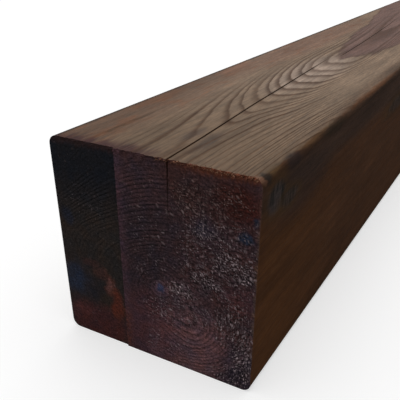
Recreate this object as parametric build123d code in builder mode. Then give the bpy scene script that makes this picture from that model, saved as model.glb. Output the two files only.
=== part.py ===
# Square softwood post, planed on four sides, cross-cut at both ends and lying on one face.
# Millimetres, +Z up, the length along Y. The origin is the middle of the underside.
import os
from math import radians, tan

from build123d import *

# Planed section and stock length
side = 145.0
arris_radius = 6.0
length = 1800.0

# The front end was cut in two saw passes: the second, from the -X face, runs a little deeper.
second_pass_width = 50.0
second_pass_step = 1.0

# Drying checks in the top face: wedges that follow the slope of the grain.
# Their tips lean towards the pith, which lies on the -X side of them.
check_lean = 1.0
check_overcut = 1.0

# Each line is distance from the front end, offset from the middle of the face,
# and how much of the check's full width and depth is open there.
end_check_width = 1.1
end_check_depth = 44.0
end_check_line = [
    (-check_overcut, 14.7, 1.0),
    (45.0, 12.9, 1.0),
    (126.0, 7.9, 0.95),
    (186.0, 5.4, 0.9),
    (256.0, 2.1, 0.75),
    (320.0, -0.6, 0.08),
]

top_check_width = 0.8
top_check_depth = 18.0
top_check_line = [
    (338.0, 5.6, 0.1),
    (365.0, 5.0, 0.9),
    (422.0, 2.9, 1.0),
    (497.0, -0.9, 0.9),
    (598.0, -6.7, 0.6),
    (680.0, -12.4, 0.1),
]

checks = [
    (end_check_line, end_check_width, end_check_depth),
    (top_check_line, top_check_width, top_check_depth),
]

os.makedirs("parts", exist_ok=True)

with BuildPart() as post:
    # Planed section with its four arrises rounded
    with BuildSketch(Plane.XZ):
        with Locations((0, side / 2)):
            RectangleRounded(side, side, arris_radius)
    extrude(amount=length / 2, both=True)

    # Step left by the second saw pass across the front end
    with BuildSketch(Plane.XZ.offset(length / 2)):
        with Locations((-side / 2, 0)):
            Rectangle(second_pass_width, side, align=(Align.MIN, Align.MIN))
    extrude(amount=-second_pass_step, mode=Mode.SUBTRACT)

    # Each check is a loft of thin wedges, standing on a line along the top face
    for line, width, depth in checks:
        for from_end, offset_x, share in line:
            mouth = Plane(
                origin=(offset_x, from_end - length / 2, side),
                x_dir=(1, 0, 0),
                z_dir=(0, -1, 0),
            )
            half_width = share * width / 2
            tip_depth = share * depth
            tip_shift = tip_depth * tan(radians(check_lean))
            with BuildSketch(mouth):
                with BuildLine():
                    Polyline(
                        (-half_width, check_overcut),
                        (half_width, check_overcut),
                        (half_width, 0),
                        (-tip_shift, -tip_depth),
                        (-half_width, 0),
                        close=True,
                    )
                make_face()
        loft(ruled=True, mode=Mode.SUBTRACT)

post.part.label = "post"
export_step(post.part, "parts/post.step")
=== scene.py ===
import math

import bmesh
import bpy
import numpy as np
from mathutils import Matrix, Vector, noise


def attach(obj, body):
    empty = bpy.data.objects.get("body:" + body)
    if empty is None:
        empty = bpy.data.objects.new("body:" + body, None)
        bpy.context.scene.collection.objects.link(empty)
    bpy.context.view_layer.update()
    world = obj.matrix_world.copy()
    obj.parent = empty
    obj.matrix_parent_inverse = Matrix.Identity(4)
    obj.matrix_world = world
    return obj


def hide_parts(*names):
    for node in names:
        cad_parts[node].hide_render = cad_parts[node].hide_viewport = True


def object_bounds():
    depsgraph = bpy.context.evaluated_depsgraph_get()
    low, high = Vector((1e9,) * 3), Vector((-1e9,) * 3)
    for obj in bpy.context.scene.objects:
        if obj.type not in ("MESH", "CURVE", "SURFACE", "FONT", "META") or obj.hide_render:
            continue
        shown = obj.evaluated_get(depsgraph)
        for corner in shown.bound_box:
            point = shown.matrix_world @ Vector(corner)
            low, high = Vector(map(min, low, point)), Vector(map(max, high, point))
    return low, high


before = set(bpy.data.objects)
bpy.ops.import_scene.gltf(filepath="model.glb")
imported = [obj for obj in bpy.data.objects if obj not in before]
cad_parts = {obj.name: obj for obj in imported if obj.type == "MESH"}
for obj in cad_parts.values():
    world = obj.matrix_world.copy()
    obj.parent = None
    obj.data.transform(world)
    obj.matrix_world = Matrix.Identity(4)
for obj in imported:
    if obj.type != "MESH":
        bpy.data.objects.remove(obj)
cadLow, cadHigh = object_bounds()
mm = 0.001
frontY = cadLow.y  # plane of the sawn front end
topZ = cadHigh.z
halfWidth = cadHigh.x
print("frame loaded, post box", list(cadLow), list(cadHigh))


def deselectAll():
    if bpy.context.mode != "OBJECT":
        bpy.ops.object.mode_set(mode="OBJECT")
    bpy.ops.object.select_all(action="DESELECT")


def makeActive(piece):
    deselectAll()
    piece.select_set(True)
    bpy.context.view_layer.objects.active = piece


def linear(hexColour):
    parts = [int(hexColour[i:i + 2], 16) / 255 for i in (1, 3, 5)]
    return tuple(c / 12.92 if c <= 0.04045 else ((c + 0.055) / 1.055) ** 2.4 for c in parts) + (1.0,)


def addNode(tree, kind, inputs=None, take=None, **settings):
    node = tree.nodes.new("ShaderNode" + kind)
    for name, value in settings.items():
        setattr(node, name, value)
    for name, value in (inputs or {}).items():
        if isinstance(value, bpy.types.NodeSocket):
            tree.links.new(value, node.inputs[name])
        else:
            node.inputs[name].default_value = value
    if take:
        return node.outputs[take]
    return next((socket for socket in node.outputs if socket.enabled), None)


# Camera at the photograph's viewing angle, close to the sawn end
cameraSet = {
    "lens": 50.184,  # mm on a 36 mm sensor
    "place": (174.35, -245.59, 251.55),  # mm from the middle of the front end's lower edge
    "azimuth": 29.432,
    "elevation": 30.713,
    "roll": 0.229,
    "shiftUp": 0.1613,
}


def placeCamera():
    bpy.ops.object.camera_add()
    camera = bpy.context.object
    camera.name = "photoCamera"
    right, along, up = cameraSet["place"]
    spot = Vector((right * mm, frontY + along * mm, up * mm))
    turn = Matrix.Rotation(math.radians(cameraSet["azimuth"]), 4, "Z")
    tip = Matrix.Rotation(math.radians(90 - cameraSet["elevation"]), 4, "X")
    roll = Matrix.Rotation(math.radians(cameraSet["roll"]), 4, "Z")
    camera.matrix_world = Matrix.Translation(spot) @ turn @ tip @ roll
    camera.data.sensor_width = 36
    camera.data.lens = cameraSet["lens"]
    camera.data.shift_y = cameraSet["shiftUp"]
    camera.data.clip_start = 0.01
    bpy.context.scene.camera = camera
    print("camera placed", [round(v, 4) for v in spot])


# Studio: white floor that keeps a light shadow, soft dome brightest overhead and behind the post
studioSet = {
    "floorSize": 60.0,  # m
    "floorColour": "#CCCCCC",
    "floorGlow": 0.5,  # white that the shadow leaves to the camera
    "bounceColour": "#5A5A5A",  # what the floor gives back to the post
    "domeTop": 1.85,  # brightness overhead
    "domePower": 2.5,  # how fast it falls towards the horizon
    "backTop": 0.45,  # soft light low behind the post, for the sheen on its top
    "backPower": 6.0,
    "backFrom": (-0.45, 0.8, 0.4),
}


def buildStudio():
    deselectAll()
    bpy.ops.mesh.primitive_plane_add(size=studioSet["floorSize"])
    floor = bpy.context.object
    floor.name = "floor"
    paper = bpy.data.materials.new("palePaper")  # matt white sheet, only there to take the shadow
    paper.use_nodes = True
    tree = paper.node_tree
    tree.nodes.clear()
    seen = addNode(tree, "LightPath", take="Is Camera Ray")
    shade = addNode(tree, "Mix", {
        0: seen,
        6: linear(studioSet["bounceColour"]),
        7: linear(studioSet["floorColour"]),
    }, data_type="RGBA")
    matt = addNode(tree, "BsdfDiffuse", {"Color": shade})
    share = addNode(tree, "Math", {0: seen, 1: studioSet["floorGlow"]}, operation="MULTIPLY")
    glow = addNode(tree, "Emission", {"Color": (1, 1, 1, 1), "Strength": share})
    both = addNode(tree, "AddShader", {0: matt, 1: glow})
    addNode(tree, "OutputMaterial", {"Surface": both})
    floor.data.materials.append(paper)

    world = bpy.data.worlds.new("softDome")
    bpy.context.scene.world = world
    world.use_nodes = True
    tree = world.node_tree
    tree.nodes.clear()
    toward = addNode(tree, "TexCoord", take="Generated")
    up = addNode(tree, "SeparateXYZ", {0: toward}, take="Z")
    up = addNode(tree, "Math", {0: up, 1: 0.0}, operation="MAXIMUM")
    fall = addNode(tree, "Math", {0: up, 1: studioSet["domePower"]}, operation="POWER")
    dome = addNode(tree, "Math", {0: fall, 1: studioSet["domeTop"]}, operation="MULTIPLY")
    behind = Vector(studioSet["backFrom"]).normalized()
    near = addNode(tree, "VectorMath", {0: toward, 1: behind}, operation="DOT_PRODUCT")
    near = addNode(tree, "Math", {0: near, 1: 0.0}, operation="MAXIMUM")
    near = addNode(tree, "Math", {0: near, 1: studioSet["backPower"]}, operation="POWER")
    total = addNode(tree, "Math", {0: near, 1: studioSet["backTop"], 2: dome}, operation="MULTIPLY_ADD")
    seen = addNode(tree, "LightPath", take="Is Camera Ray")
    strength = addNode(tree, "Mix", {0: seen, 2: total, 3: 1.0}, data_type="FLOAT")
    light = addNode(tree, "Background", {"Color": (1, 1, 1, 1), "Strength": strength})
    addNode(tree, "OutputWorld", {"Surface": light})
    print("studio built")


# The post itself: planed section, two-pass saw cut, drying checks, torn end grain
postShape = {
    "arris": 6.0,  # mm, rounding of the long edges
    "arrisSteps": 6,
    "stripWidth": 3.2,  # mm, strips that each planed face is sliced into
    "firstRing": 2.0,  # mm, slices along the length start this close together
    "ringGrowth": 0.022,  # and widen with the distance from the front end
    "lastRing": 24.0,
    "frontCuts": 3,  # subdivisions of each cell of the front end
    "backCuts": 1,
    "sawLine": -22.5,  # mm from the middle, where the second saw pass meets the first
    "sawStep": 1.0,  # mm that the second pass lies deeper
    "stepWidth": 0.3,
}


def spread(low, high, step):
    count = max(1, round((high - low) / step))
    return [low + (high - low) * i / count for i in range(count + 1)]


def faceArrays(mesh):
    centres = np.empty(len(mesh.polygons) * 3)
    normals = np.empty(len(mesh.polygons) * 3)
    mesh.polygons.foreach_get("center", centres)
    mesh.polygons.foreach_get("normal", normals)
    return centres.reshape(-1, 3), normals.reshape(-1, 3)


def vertexArray(mesh):
    spots = np.empty(len(mesh.vertices) * 3)
    mesh.vertices.foreach_get("co", spots)
    return spots.reshape(-1, 3)


def pickFaces(piece, test):
    bpy.ops.object.mode_set(mode="OBJECT")
    mesh = piece.data
    picked = test(*faceArrays(mesh))
    mesh.vertices.foreach_set("select", np.zeros(len(mesh.vertices), bool))
    mesh.edges.foreach_set("select", np.zeros(len(mesh.edges), bool))
    mesh.polygons.foreach_set("select", picked)
    bpy.ops.object.mode_set(mode="EDIT")
    bpy.ops.mesh.select_mode(type="FACE")


def onFront(centres, normals):
    return normals[:, 1] < -0.9


def onBack(centres, normals):
    return normals[:, 1] > 0.9


def onEnds(centres, normals):
    return np.abs(normals[:, 1]) > 0.9


def sliceAcross(axis, places):
    direction = Vector((0, 0, 0))
    direction[axis] = 1
    for place in places:
        bpy.ops.mesh.select_all(action="SELECT")
        bpy.ops.mesh.bisect(plane_co=direction * place, plane_no=direction, threshold=1e-6)


def ringPlaces():
    places, place = [], postShape["firstRing"]
    length = (cadHigh.y - cadLow.y) / mm
    while place < length - 12:
        places.append(cadLow.y + place * mm)
        place += min(postShape["lastRing"], postShape["firstRing"] + postShape["ringGrowth"] * place)
    return places + [cadHigh.y - 8 * mm, cadHigh.y - 2 * mm]


def modelPost():
    size = cadHigh - cadLow
    arris = postShape["arris"] * mm
    flat = halfWidth - arris
    middle = topZ / 2
    deselectAll()
    bpy.ops.mesh.primitive_cube_add(size=1, calc_uvs=False, location=(cadLow + cadHigh) / 2, scale=size)
    post = bpy.context.object
    post.name = "timberPost"
    bpy.ops.object.transform_apply(location=True, rotation=True, scale=True)
    mesh = post.data

    # round the four long edges
    bpy.ops.object.mode_set(mode="EDIT")
    bpy.ops.mesh.select_mode(type="EDGE")
    bpy.ops.mesh.select_all(action="DESELECT")
    bpy.ops.object.mode_set(mode="OBJECT")
    for edge in mesh.edges:
        a, b = (mesh.vertices[i].co for i in edge.vertices)
        edge.select = abs(a.y - b.y) > size.y / 2
    bpy.ops.object.mode_set(mode="EDIT")
    bpy.ops.mesh.bevel(offset=arris, segments=postShape["arrisSteps"], profile=0.5, affect="EDGES")

    # strips across the planed faces, then rings along the length
    strips = spread(-flat, flat, postShape["stripWidth"] * mm)
    sliceAcross(0, strips)
    sliceAcross(2, [middle + place for place in strips])
    sliceAcross(1, ringPlaces())

    # finer cells on the ends: they follow the rounded corners and the saw line
    steps = postShape["arrisSteps"]
    corner = [flat + arris * math.sin(math.pi / 2 * i / steps) for i in range(1, steps)]
    corner = corner + [-place for place in corner]
    pickFaces(post, onEnds)
    bpy.ops.mesh.hide(unselected=True)
    sliceAcross(0, corner)
    sliceAcross(2, [middle + place for place in corner])
    bpy.ops.mesh.reveal()
    saw = postShape["sawLine"] * mm
    half = postShape["stepWidth"] * mm / 2
    pickFaces(post, onFront)
    bpy.ops.mesh.hide(unselected=True)
    sliceAcross(0, [saw - half, saw + half])
    bpy.ops.mesh.reveal()
    pickFaces(post, onFront)
    bpy.ops.mesh.subdivide(number_cuts=postShape["frontCuts"])
    pickFaces(post, onBack)
    bpy.ops.mesh.subdivide(number_cuts=postShape["backCuts"])
    bpy.ops.object.mode_set(mode="OBJECT")
    print("post sliced into", len(mesh.polygons), "faces")

    # the second saw pass lies a little deeper
    spots = vertexArray(mesh)
    front = spots[:, 1] < frontY + 0.2 * mm
    share = np.clip((saw + half - spots[:, 0]) / (2 * half), 0, 1)
    spots[:, 1] += np.where(front, share * postShape["sawStep"] * mm, 0)
    mesh.vertices.foreach_set("co", spots.ravel())
    mesh.update()
    return post


# Drying checks along the slope of the grain, as wide and deep as the CAD has them, with a little waver
checkShape = {
    "lean": 1.0,  # degrees that their tips lean towards the pith
    "overcut": 1.0,  # mm above the face
    "step": 8.0,  # mm between sections
    "waver": 0.25,  # mm
    "neck": (0.34, 0.36),  # shares of the width and depth, from where they are hair cracks
    "checks": [
        {
            "width": 1.1,
            "depth": 44.0,
            "line": [(-1.0, 14.7, 1.0), (45.0, 12.9, 1.0), (126.0, 7.9, 0.95), (186.0, 5.4, 0.9),
                     (256.0, 2.1, 0.75), (320.0, -0.6, 0.08)],
        },
        {
            "width": 0.8,
            "depth": 18.0,
            "line": [(338.0, 5.6, 0.1), (365.0, 5.0, 0.9), (422.0, 2.9, 1.0), (497.0, -0.9, 0.9),
                     (598.0, -6.7, 0.6), (680.0, -12.4, 0.1)],
        },
    ],
}


def checkSection(check, fromEnd):
    ends, offsets, shares = zip(*check["line"])
    share = float(np.interp(fromEnd, ends, shares))
    offset = float(np.interp(fromEnd, ends, offsets))
    offset += checkShape["waver"] * noise.noise(Vector((fromEnd / 30, 3.7, 0)))
    width = check["width"] * share * (1 + 0.25 * noise.noise(Vector((fromEnd / 25, 9.1, 0))))
    depth = check["depth"] * share
    slope = math.tan(math.radians(checkShape["lean"]))
    over = checkShape["overcut"]
    neck, neckDepth = width * checkShape["neck"][0], depth * checkShape["neck"][1]
    corners = [
        (offset - width / 2, over),
        (offset + width / 2, over),
        (offset - slope * neckDepth + neck / 2, -neckDepth),
        (offset - slope * depth, -depth),
        (offset - slope * neckDepth - neck / 2, -neckDepth),
    ]
    return [Vector((x * mm, frontY + fromEnd * mm, topZ + z * mm)) for x, z in corners]


def modelCheck(check, wood):
    deselectAll()
    bpy.ops.mesh.primitive_circle_add(
        vertices=5, radius=mm, fill_type="NGON", calc_uvs=False, rotation=(math.pi / 2, 0, 0))
    cutter = bpy.context.object
    bpy.ops.object.transform_apply(location=True, rotation=True, scale=True)
    bpy.ops.object.mode_set(mode="EDIT")
    bpy.ops.mesh.select_mode(type="VERT")
    bpy.ops.mesh.select_all(action="SELECT")
    stations = spread(check["line"][0][0], check["line"][-1][0], checkShape["step"])
    last = None
    for fromEnd in stations:
        if last:
            bpy.ops.mesh.extrude_region_move()
        shape = bmesh.from_edit_mesh(cutter.data)
        picked = [v for v in shape.verts if v.select]
        corners = checkSection(check, fromEnd)
        if last:
            picked = [min(picked, key=lambda v: (v.co - spot).length) for spot in last]
        for vertex, spot in zip(picked, corners):
            vertex.co = spot
        bmesh.update_edit_mesh(cutter.data)
        last = corners
    bpy.ops.mesh.select_all(action="SELECT")
    bpy.ops.mesh.normals_make_consistent(inside=False)
    bpy.ops.object.mode_set(mode="OBJECT")
    cutter.data.materials.append(wood)
    return cutter


def cutCheck(post, cutter):
    makeActive(post)
    cut = post.modifiers.new("dryingCheck", "BOOLEAN")
    cut.operation = "DIFFERENCE"
    cut.solver = "EXACT"
    cut.material_mode = "TRANSFER"
    cut.object = cutter
    bpy.ops.object.modifier_apply(modifier=cut.name)
    bpy.data.objects.remove(cutter)


# Relief of the sawn ends, as displacements held back by vertex groups
reliefSet = {
    "reach": 1.8,  # mm behind the end planes that still belong to the sawn face
    "tufts": {"grain": 1.5, "height": 1.5},  # mm, torn fibre tufts
    "waves": {"grain": 6.0, "height": 0.8},
    "rim": {"grain": 2.2, "height": 2.6, "width": 2.2},  # mm, splintered top edge
    "edge": 2.5,  # mm inside the outline, over which the relief grows
}


def bandDistance(x, z, start, end):
    a, b = np.array(start), np.array(end)
    along = (b - a) / np.linalg.norm(b - a)
    return np.abs((x - a[0]) * along[1] - (z - a[1]) * along[0])


def insideBy(x, z):
    # mm from the rounded outline of the section
    arris = postShape["arris"]
    flat = halfWidth / mm - arris
    a, b = np.abs(x) - flat, np.abs(z - halfWidth / mm) - flat
    return arris - np.hypot(np.maximum(a, 0), np.maximum(b, 0)) - np.minimum(np.maximum(a, b), 0)


def tornShare(x, z):
    # smooth second pass, fairly smooth middle, torn right-hand side
    share = 0.08 + 0.22 * (x > postShape["sawLine"]) + 0.3 * np.clip((x - 5) / 30, 0, 1)
    band = np.exp(-(bandDistance(x, z, (68, 85), (20, 60)) / 14) ** 2) * np.clip((x - 8) / 14, 0, 1)
    low = np.clip((x - 45) / 15, 0, 1) * np.clip((45 - z) / 20, 0, 1)
    return np.clip(share + 0.45 * band + 0.35 * low, 0, 1)


def weigh(post, name, weights):
    group = post.vertex_groups.new(name=name)
    for index in np.nonzero(weights > 0.001)[0]:
        group.add([int(index)], float(weights[index]), "REPLACE")
    return group.name


def displace(post, name, grain, height, groupName, kind="CLOUDS"):
    texture = bpy.data.textures.new(name, kind)
    texture.noise_scale = grain * mm
    move = post.modifiers.new(name, "DISPLACE")
    move.texture = texture
    move.texture_coords = "LOCAL"
    move.direction = "Y"
    move.mid_level = 0.5
    move.strength = height * mm
    move.vertex_group = groupName
    makeActive(post)
    bpy.ops.object.modifier_apply(modifier=move.name)


def roughenEnds(post):
    spots = vertexArray(post.data)
    x, z = spots[:, 0] / mm, spots[:, 2] / mm
    fromFront = (spots[:, 1] - frontY) / mm
    fromBack = (cadHigh.y - spots[:, 1]) / mm
    front = fromFront < reliefSet["reach"]
    back = fromBack < reliefSet["reach"]
    grown = np.clip(insideBy(x, z) / reliefSet["edge"], 0, 1)
    torn = weigh(post, "tornFibre", np.where(front, tornShare(x, z), np.where(back, 0.3, 0)) * grown)
    both = weigh(post, "sawnFace", np.where(front | back, 0.5, 0.0) * grown)
    rimFall = np.exp(-(topZ / mm - z) / reliefSet["rim"]["width"])
    rim = weigh(post, "tornRim", np.where(front, rimFall * np.where(x > postShape["sawLine"], 1, 0.6), 0))
    displace(post, "sawWaves", reliefSet["waves"]["grain"], reliefSet["waves"]["height"], both)
    displace(post, "fibreTufts", reliefSet["tufts"]["grain"], reliefSet["tufts"]["height"], torn)
    displace(post, "splinteredRim", reliefSet["rim"]["grain"], reliefSet["rim"]["height"], rim)
    post.vertex_groups.clear()
    print("ends roughened")


# Growth rings shared by every wood surface, so that lines run on from face to face
ringSet = {
    "spacing": 2.7,  # mm between rings
    "pithFront": 13.5,  # mm across, where the rings are centred at the front end
    "pithNear": 8.0,  # the same 300 mm further on
    "pithDrift": -50.0,  # mm that the centre drifts towards -X along the rest of the length
    "pithLow": 50.0,  # mm above the underside at the front
    "pithRise": 26.0,  # mm that the pith comes up, which makes the pointed arches on the top
    "pithDrop": 30.0,  # mm that it goes down again towards the back
    "heartShift": (-6.5, 7.5),  # mm that the smallest rings sit off the middle of the large ones
    "leftLow": 0.8,  # rings are wider than round to the left and right of the pith
    "rightLow": 1.0,
    "leftTop": (1.2, 1.4),  # and pinched under the top face, at the front and 300 mm on
    "rightTop": (1.6, 1.45),
    "archTop": (2.1, 0.62),  # beside the pith on the right, where arches go from pointed to round
    "lowPinch": 1.1,  # rings are narrower below the pith
    "lowShift": (9.5, -7.5),  # mm that the lower right rings sit off the middle
    "point": 0.1,  # how sharp the tips of the arches are
    "pointReach": 13.0,  # mm
}


def growthRings(tree):
    place = addNode(tree, "TexCoord", take="Object")
    point = addNode(tree, "Mapping", {
        "Vector": place,
        "Location": (0, -frontY / mm, 0),
        "Scale": (1 / mm, 1 / mm, 1 / mm),
    })  # millimetres, y from the front end
    slow = addNode(tree, "Mapping", {"Vector": point, "Scale": (1 / 60, 1 / 420, 1 / 60)})
    sway = addNode(tree, "TexNoise", {"Vector": slow, "Scale": 1.0, "Detail": 1.0}, take="Color")
    sway = addNode(tree, "VectorMath", {0: sway, 1: (6, 0, 6), 2: (-3, 0, -3)}, operation="MULTIPLY_ADD")
    quick = addNode(tree, "Mapping", {"Vector": point, "Scale": (1 / 5, 1 / 40, 1 / 5)})
    ripple = addNode(tree, "TexNoise", {"Vector": quick, "Scale": 1.0, "Detail": 2.0}, take="Color")
    ripple = addNode(tree, "VectorMath", {
        0: ripple, 1: (0.9, 2, 0.9), 2: (-0.45, -1, -0.45)}, operation="MULTIPLY_ADD")
    bent = addNode(tree, "VectorMath", {0: point, 1: sway}, operation="ADD")
    bent = addNode(tree, "VectorMath", {0: bent, 1: ripple}, operation="ADD")
    x = addNode(tree, "SeparateXYZ", {0: bent}, take="X")
    y = addNode(tree, "SeparateXYZ", {0: bent}, take="Y")
    z = addNode(tree, "SeparateXYZ", {0: bent}, take="Z")

    # the pith wanders along the post
    nearDrift = addNode(tree, "MapRange", {
        "Value": y, "From Max": 300.0, "To Min": ringSet["pithFront"], "To Max": ringSet["pithNear"]})
    farDrift = addNode(tree, "MapRange", {
        "Value": y, "From Min": 300.0, "From Max": 1100.0, "To Max": ringSet["pithDrift"],
    }, interpolation_type="SMOOTHSTEP")
    pithX = addNode(tree, "Math", {0: nearDrift, 1: farDrift}, operation="ADD")
    rise = addNode(tree, "MapRange", {
        "Value": y, "From Min": 10.0, "From Max": 350.0, "To Min": ringSet["pithLow"],
        "To Max": ringSet["pithLow"] + ringSet["pithRise"]}, interpolation_type="SMOOTHSTEP")
    drop = addNode(tree, "MapRange", {
        "Value": y, "From Min": 900.0, "From Max": 1500.0, "To Max": ringSet["pithDrop"],
    }, interpolation_type="SMOOTHSTEP")
    pithZ = addNode(tree, "Math", {0: rise, 1: drop}, operation="SUBTRACT")
    pith = addNode(tree, "CombineXYZ", {"X": pithX, "Y": y, "Z": pithZ})
    spoke = addNode(tree, "VectorMath", {0: bent, 1: pith}, operation="SUBTRACT")
    shiftX, shiftZ = ringSet["heartShift"]
    inner = addNode(tree, "VectorMath", {0: spoke, 1: (shiftX / 2, 0, shiftZ / 2)}, operation="SUBTRACT")
    inner = addNode(tree, "VectorMath", {0: inner}, operation="LENGTH")
    inner = addNode(tree, "MapRange", {
        "Value": inner, "From Min": 42.0, "From Max": 5.0}, interpolation_type="SMOOTHSTEP")
    shift = addNode(tree, "VectorMath", {0: (shiftX, 0, shiftZ), "Scale": inner}, operation="SCALE")
    spoke = addNode(tree, "VectorMath", {0: spoke, 1: shift}, operation="SUBTRACT")
    lowX, lowZ = ringSet["lowShift"]
    corner = Vector((lowX, 0, lowZ)).normalized()
    corner = addNode(tree, "VectorMath", {0: spoke, 1: corner}, operation="DOT_PRODUCT")
    corner = addNode(tree, "MapRange", {
        "Value": corner, "From Min": 4.0, "From Max": 32.0}, interpolation_type="SMOOTHSTEP")
    shift = addNode(tree, "VectorMath", {0: (lowX, 0, lowZ), "Scale": corner}, operation="SCALE")
    spoke = addNode(tree, "VectorMath", {0: spoke, 1: shift}, operation="SUBTRACT")
    across = addNode(tree, "SeparateXYZ", {0: spoke}, take="X")
    above = addNode(tree, "SeparateXYZ", {0: spoke}, take="Z")

    # distance from the pith, with rings that are wider on one side and pinched under the top face
    toTop = addNode(tree, "MapRange", {
        "Value": z, "From Min": 80.0, "From Max": 142.0}, interpolation_type="SMOOTHSTEP")
    sides = []
    for side, pick in (("left", "MINIMUM"), ("right", "MAXIMUM")):
        front, further = ringSet[side + "Top"]
        pinch = addNode(tree, "MapRange", {
            "Value": y, "From Max": 300.0, "To Min": front, "To Max": further})
        if side == "right":
            pointed, rounded = ringSet["archTop"]
            arch = addNode(tree, "MapRange", {
                "Value": y, "From Min": 100.0, "From Max": 200.0, "To Min": pointed, "To Max": rounded})
            beside = addNode(tree, "MapRange", {
                "Value": across, "From Min": 10.0, "From Max": 38.0}, interpolation_type="SMOOTHSTEP")
            pinch = addNode(tree, "Mix", {0: beside, 2: arch, 3: pinch}, data_type="FLOAT")
        pinch = addNode(tree, "Mix", {0: toTop, 2: ringSet[side + "Low"], 3: pinch}, data_type="FLOAT")
        part = addNode(tree, "Math", {0: across, 1: 0.0}, operation=pick)
        sides.append(addNode(tree, "Math", {0: part, 1: pinch}, operation="MULTIPLY"))
    wide = addNode(tree, "Math", {0: sides[0], 1: sides[1]}, operation="ADD")
    under = addNode(tree, "Math", {0: above, 1: 0.0}, operation="MINIMUM")
    above = addNode(tree, "Math", {0: under, 1: ringSet["lowPinch"] - 1, 2: above}, operation="MULTIPLY_ADD")
    spoke = addNode(tree, "CombineXYZ", {"X": wide, "Z": above})
    radius = addNode(tree, "VectorMath", {0: spoke}, operation="LENGTH")
    off = addNode(tree, "Math", {0: across, 1: 0.0}, operation="MINIMUM")
    off = addNode(tree, "Math", {0: off, 1: 1 / ringSet["pointReach"]}, operation="MULTIPLY")
    off = addNode(tree, "Math", {0: off}, operation="EXPONENT")
    off = addNode(tree, "Math", {0: 1.0, 1: off}, operation="SUBTRACT")
    off = addNode(tree, "Math", {0: off, 1: toTop}, operation="MULTIPLY")
    radius = addNode(tree, "Math", {
        0: off, 1: ringSet["point"] * ringSet["pointReach"], 2: radius}, operation="MULTIPLY_ADD")

    # some years grow wider and some latewood is darker than others
    years = addNode(tree, "Math", {0: radius, 1: 1 / 8}, operation="MULTIPLY")
    growth = addNode(tree, "TexNoise", {"W": years, "Scale": 1.0, "Detail": 1.0}, noise_dimensions="1D")
    age = addNode(tree, "Math", {0: growth, 1: 3.0, 2: radius}, operation="MULTIPLY_ADD")
    age = addNode(tree, "Math", {0: age, 1: 1 / ringSet["spacing"]}, operation="MULTIPLY")
    phase = addNode(tree, "Math", {0: age}, operation="FRACT")
    year = addNode(tree, "Math", {0: age}, operation="FLOOR")
    odds = addNode(tree, "TexWhiteNoise", {"W": year}, take="Value", noise_dimensions="1D")
    start = addNode(tree, "MapRange", {
        "Value": phase, "From Min": 0.0, "From Max": 0.16}, interpolation_type="SMOOTHSTEP")
    broad = addNode(tree, "MapRange", {
        "Value": y, "From Min": 60.0, "From Max": 220.0, "To Min": 0.46, "To Max": 0.85})
    fade = addNode(tree, "MapRange", {
        "Value": phase, "From Min": broad, "From Max": 0.12}, interpolation_type="SMOOTHSTEP")
    late = addNode(tree, "Math", {0: start, 1: fade}, operation="MULTIPLY")
    strength = addNode(tree, "MapRange", {"Value": odds, "To Min": 0.55, "To Max": 1.0})
    late = addNode(tree, "Math", {0: late, 1: strength}, operation="MULTIPLY")
    return {"point": point, "late": late, "phase": phase, "odds": odds, "radius": radius}


def paintStains(tree, point, colour, stains):
    # each stain is a soft ellipsoid: middle and half sizes in mm, colour, strength
    for middle, sizes, hexColour, strength in stains:
        away = addNode(tree, "VectorMath", {0: point, 1: middle}, operation="SUBTRACT")
        away = addNode(tree, "VectorMath", {0: away, 1: sizes}, operation="DIVIDE")
        away = addNode(tree, "VectorMath", {0: away}, operation="LENGTH")
        share = addNode(tree, "MapRange", {
            "Value": away, "From Min": 1.25, "From Max": 0.45, "To Max": strength}, interpolation_type="SMOOTHSTEP")
        colour = addNode(tree, "Mix", {0: share, 6: colour, 7: linear(hexColour)}, data_type="RGBA")
    return colour


# Planed, brown pressure-treated softwood: dark latewood arches, fine fibres along the length, dull sheen
planedSet = {
    "flank": "#6A4428",  # warm brown of the side faces
    "front": "#705C4A",  # top by the sawn end, darker: less painted sheen than further on
    "top": "#87725F",  # paler, greyer top: painted sheen
    # painted sheen of the top from 700 mm on
    "topSheenFar": "#87705D",
    "flankFar": "#66442E",
    "late": "#452B19",
    "lateShare": 1.0,
    "flankShare": 0.22,  # how much of the ring contrast the flanks show
    "blotch": "#784C32",
    "heart": "#6E524E",  # pinkish heartwood between the far arches
    "heartLine": "#3E2A20",
    "lipStainAndShade": "#301A00",  # treatment soaked into the lips of the drying checks, darkened further as painted shade of the open gap
    "lipWidth": 0.9,  # mm beside the open crack
    "endStain": "#402426",  # treatment drawn in at the sawn edge
    "border": 5.0,  # mm that the ragged border between top and flanks wanders
    "fibre": (0.9, 26.0),  # mm across and along, drawn coarser than real fibres so that they show
    "roughness": (0.5, 0.7),
    "gloss": 0.1,
    "relief": 0.0003,  # m, latewood stands proud of the softer earlywood
}
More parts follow.
